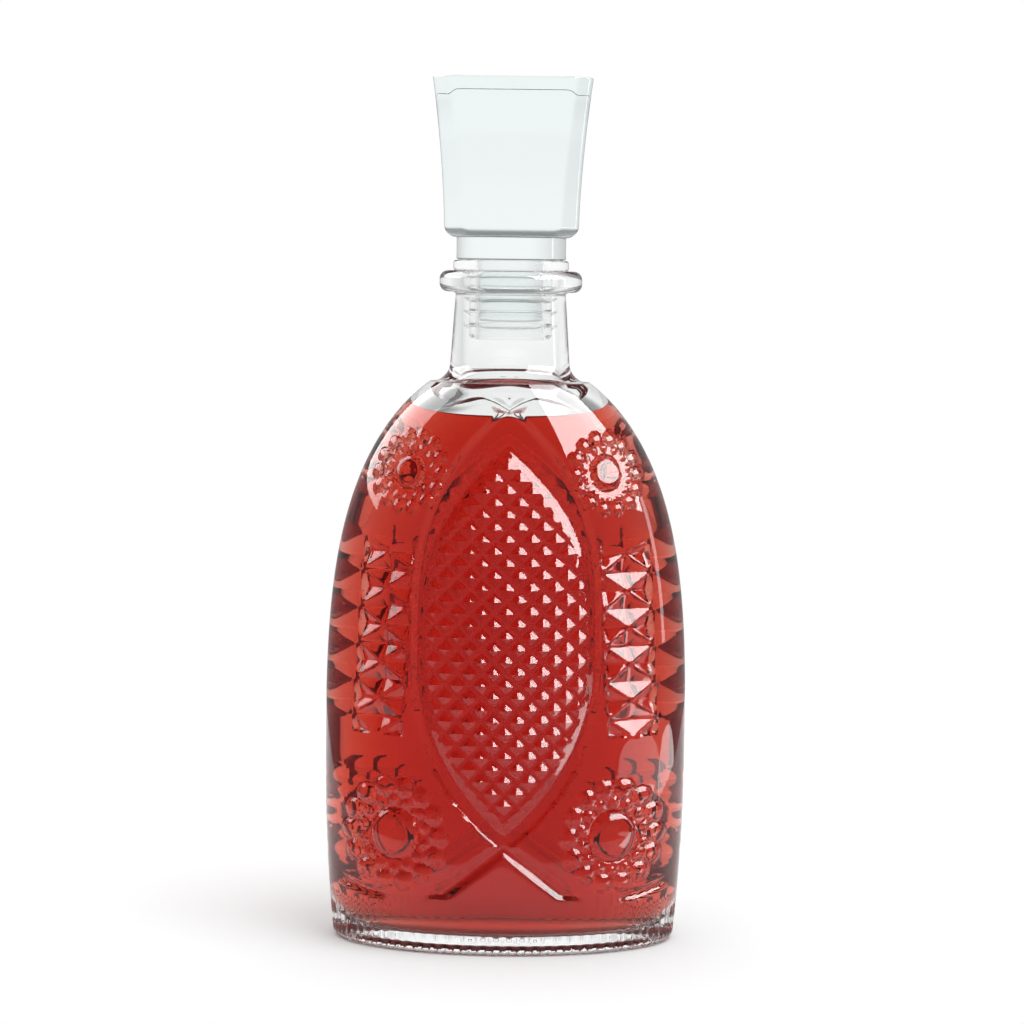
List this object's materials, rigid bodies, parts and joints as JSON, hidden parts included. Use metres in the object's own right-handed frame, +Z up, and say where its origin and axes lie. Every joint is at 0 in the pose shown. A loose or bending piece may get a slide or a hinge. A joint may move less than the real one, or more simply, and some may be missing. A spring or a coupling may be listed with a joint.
{
  "type": "glass bottle",
  "caption": "Flattened pressed-glass bottle with diamond-point and rosette relief, filled with red liquid and closed by a flared glass stopper in a plastic sealing sleeve.",
  "frame": {"origin": "on the ground under the middle of the bottle's foot", "axes": "+Z is up, +X is along the wide side of the body and the front faces -Y"},
  "size_m": [0.1028, 0.0662, 0.2445],
  "materials": {
    "bottle_glass": "clear, fire polished",
    "red_liquid": "clear liquid",
    "seal_plastic": "translucent satin",
    "stopper_glass": "clear, fire polished"
  },
  "bodies": {
    "bottle": {"bottle": "bottle_glass", "liquid_fill": "red_liquid"},
    "sleeve": {"seal_sleeve": "seal_plastic"},
    "stopper": {"stopper": "stopper_glass"}
  },
  "joints": [
    {"name": "stopper_lift", "type": "slide", "parent": "bottle", "child": "sleeve", "axis": [0, 0, 1], "range_m": [0, 0.05]},
    {"name": "stopper_turn", "type": "hinge", "parent": "sleeve", "child": "stopper", "pos_m": [0, 0, 0.2], "axis": [0, 0, 1], "continuous": true}
  ]
}
